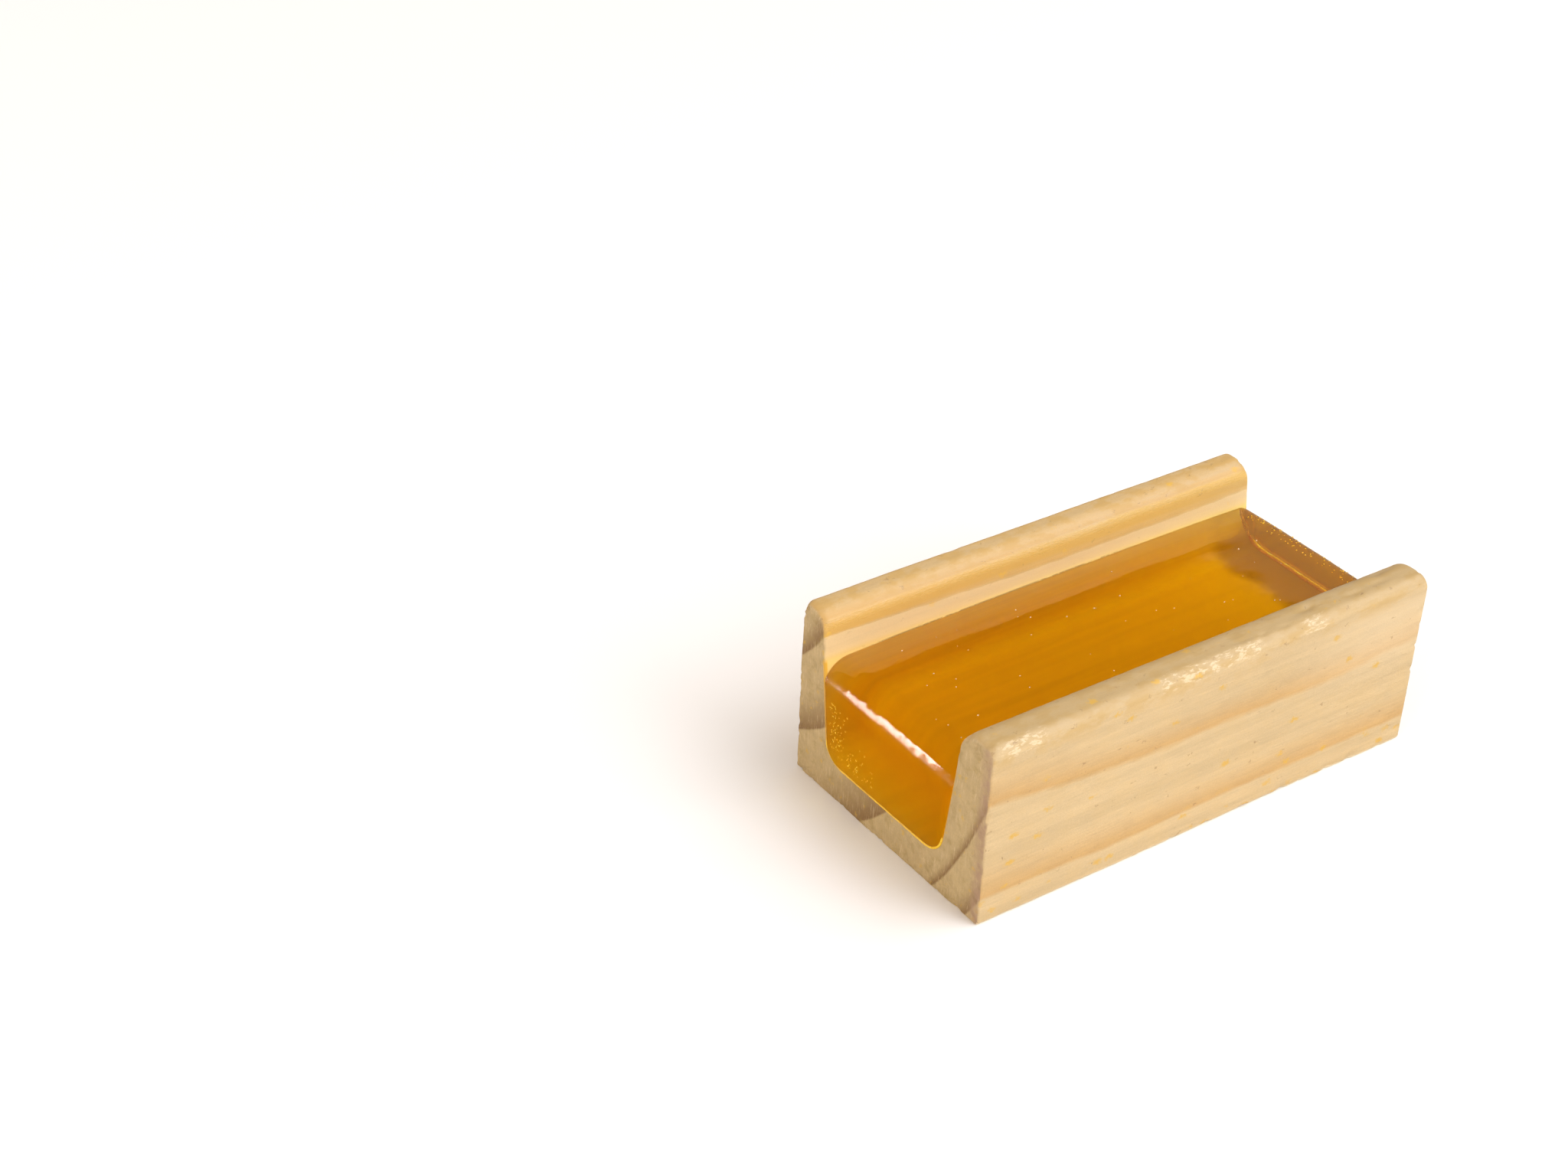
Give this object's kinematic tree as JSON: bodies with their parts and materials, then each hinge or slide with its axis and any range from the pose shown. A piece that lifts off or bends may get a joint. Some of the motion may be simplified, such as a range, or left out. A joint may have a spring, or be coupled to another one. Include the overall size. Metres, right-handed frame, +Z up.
{
  "type": "rosin cake",
  "caption": "Bar of translucent amber rosin cast in an open-ended U-shaped wooden trough; bow hair is drawn along it between the walls.",
  "frame": {"origin": "centre of the trough's underside, on the surface it rests on", "axes": "+X along the trough and the bow's stroke, +Y across it towards the thinner wall, +Z up out of the open channel"},
  "size_m": [0.0606, 0.0316, 0.0216],
  "materials": {
    "pine": "sanded smooth, clear-sealed, satin",
    "rosin": "glossy, translucent amber"
  },
  "bodies": {
    "root": {"wooden_trough": "pine", "rosin_cake": "rosin"}
  },
  "joints": []
}
